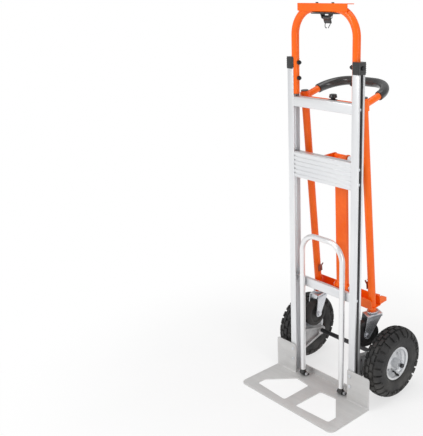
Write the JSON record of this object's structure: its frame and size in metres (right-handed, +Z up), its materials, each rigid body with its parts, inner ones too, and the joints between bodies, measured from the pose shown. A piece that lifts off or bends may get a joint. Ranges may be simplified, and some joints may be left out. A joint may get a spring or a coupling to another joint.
{
  "type": "convertible hand truck",
  "caption": "Upright aluminium hand truck with orange loop handle, folding nose loop, pneumatic wheels and a fold-out caster frame that makes it an assisted truck or platform cart.",
  "frame": {"origin": "on the ground under the toe plate, midway between the rails and in the plane of their front faces", "axes": "+X across the truck, +Y rearward from the toe plate to the wheels, +Z up along the rails"},
  "size_m": [0.52, 0.4535, 1.3306],
  "materials": {
    "rail_aluminium": "satin anodised extrusion with fine draw lines",
    "toe_plate_grey": "matte grey plate",
    "cast_bracket": "sand-cast, slightly rough",
    "orange_powder_coat": "glossy orange powder coat",
    "black_plastic": "moulded black plastic",
    "black_steel": "black oxide or e-coat",
    "zinc_steel": "zinc plated",
    "polished_tube": "bright satin tube",
    "nylon": "natural nylon",
    "dark_clip": "dark orange spring steel",
    "foam_grip": "soft black foam with a fine skin",
    "caster_rubber": "smooth black rubber",
    "tyre_rubber": "black tyre rubber with block tread",
    "rim_silver": "silver-white painted pressed steel"
  },
  "bodies": {
    "truck": {"left_rail": "rail_aluminium", "right_rail": "rail_aluminium", "rail_caps": "black_plastic", "top_crossbar": "rail_aluminium", "middle_panel": "rail_aluminium", "lower_crossbar": "rail_aluminium", "crossbar_screws": "zinc_steel", "toe_plate": "toe_plate_grey", "toe_plate_bolts": "zinc_steel", "left_axle_bracket": "cast_bracket", "right_axle_bracket": "cast_bracket", "bracket_bolts": "zinc_steel", "axle": "black_steel", "axle_spacers": "zinc_steel", "cotter_pins": "zinc_steel", "handle_loop": "orange_powder_coat", "handle_plate": "orange_powder_coat", "handle_bolts": "black_steel", "handle_nuts": "black_steel", "latch_housing": "black_plastic", "latch_pin": "zinc_steel", "knob_bracket": "black_steel", "plunger_spring": "zinc_steel", "strut_bracket": "orange_powder_coat", "strut_top_pin": "zinc_steel", "nose_hinges": "black_steel", "nose_pins": "zinc_steel"},
    "latch": {"latch_lever": "black_plastic", "latch_hook": "zinc_steel"},
    "plunger": {"knob_plunger": "black_plastic"},
    "nose": {"nose_loop": "polished_tube", "nose_feet": "black_plastic"},
    "strut": {"folding_strut": "orange_powder_coat", "strut_bushes": "nylon"},
    "caster_frame": {"left_post": "orange_powder_coat", "right_post": "orange_powder_coat", "post_caps": "black_plastic", "top_crossmember": "orange_powder_coat", "bottom_crossmember": "orange_powder_coat", "strut_clevis": "orange_powder_coat", "clevis_pin": "zinc_steel", "foot_pedal": "orange_powder_coat", "post_clips": "dark_clip", "grip_loop": "orange_powder_coat", "grip_foam": "foam_grip", "caster_mounts": "zinc_steel"},
    "left_swivel": {"left_fork": "zinc_steel", "caster_bolts_left": "zinc_steel"},
    "right_swivel": {"right_fork": "zinc_steel", "caster_bolts_right": "zinc_steel"},
    "left_caster": {"left_caster_wheel": "caster_rubber"},
    "right_caster": {"right_caster_wheel": "caster_rubber"},
    "left_wheel": {"left_tyre": "tyre_rubber", "left_rim": "rim_silver", "left_bearings": "zinc_steel", "left_valve": "tyre_rubber"},
    "right_wheel": {"right_tyre": "tyre_rubber", "right_rim": "rim_silver", "right_bearings": "zinc_steel", "right_valve": "tyre_rubber"}
  },
  "joints": [
    {"name": "strut_fold", "type": "hinge", "parent": "truck", "child": "strut", "pos_m": [0, 0.096, 0.832], "axis": [1, 0, 0], "range_deg": [0, 180.73]},
    {"name": "caster_frame_fold", "type": "hinge", "parent": "strut", "child": "caster_frame", "pos_m": [0, 0.11003, 0.35937], "axis": [1, 0, 0], "range_deg": [-98.2, 0]},
    {"name": "nose_loop_fold", "type": "hinge", "parent": "truck", "child": "nose", "pos_m": [0, 0.002, 0.016], "axis": [1, 0, 0], "range_deg": [0, 90]},
    {"name": "stow_knob_press", "type": "slide", "parent": "truck", "child": "plunger", "axis": [0, 0, 1], "range_m": [-0.004, 0], "deforming": ["plunger_spring"]},
    {"name": "latch_lever_turn", "type": "hinge", "parent": "truck", "child": "latch", "pos_m": [0, 0.02375, 1.2868], "axis": [1, 0, 0], "range_deg": [0, 40], "stiffness_Nm_per_rad": 0.15},
    {"name": "left_wheel_spin", "type": "hinge", "parent": "truck", "child": "left_wheel", "pos_m": [-0.21, 0.1385, 0.127], "axis": [1, 0, 0], "continuous": true},
    {"name": "right_wheel_spin", "type": "hinge", "parent": "truck", "child": "right_wheel", "pos_m": [0.21, 0.1385, 0.127], "axis": [1, 0, 0], "continuous": true},
    {"name": "left_caster_swivel", "type": "hinge", "parent": "caster_frame", "child": "left_swivel", "pos_m": [-0.131, 0.12295, 0.29428], "axis": [0, -0.0917, 0.9958], "range_deg": [-14, 186]},
    {"name": "right_caster_swivel", "type": "hinge", "parent": "caster_frame", "child": "right_swivel", "pos_m": [0.131, 0.12295, 0.29428], "axis": [0, -0.0917, 0.9958], "range_deg": [-168, 32]},
    {"name": "left_caster_spin", "type": "hinge", "parent": "left_swivel", "child": "left_caster", "pos_m": [-0.12863, 0.09587, 0.21848], "axis": [0.9976, 0.0695, 0.0064], "continuous": true},
    {"name": "right_caster_spin", "type": "hinge", "parent": "right_swivel", "child": "right_caster", "pos_m": [0.11826, 0.09825, 0.2187], "axis": [0.9272, -0.373, -0.0343], "continuous": true}
  ],
  "couplings": [
    {"joint": "caster_frame_fold", "follows": "strut_fold", "ratio": -0.5422}
  ]
}
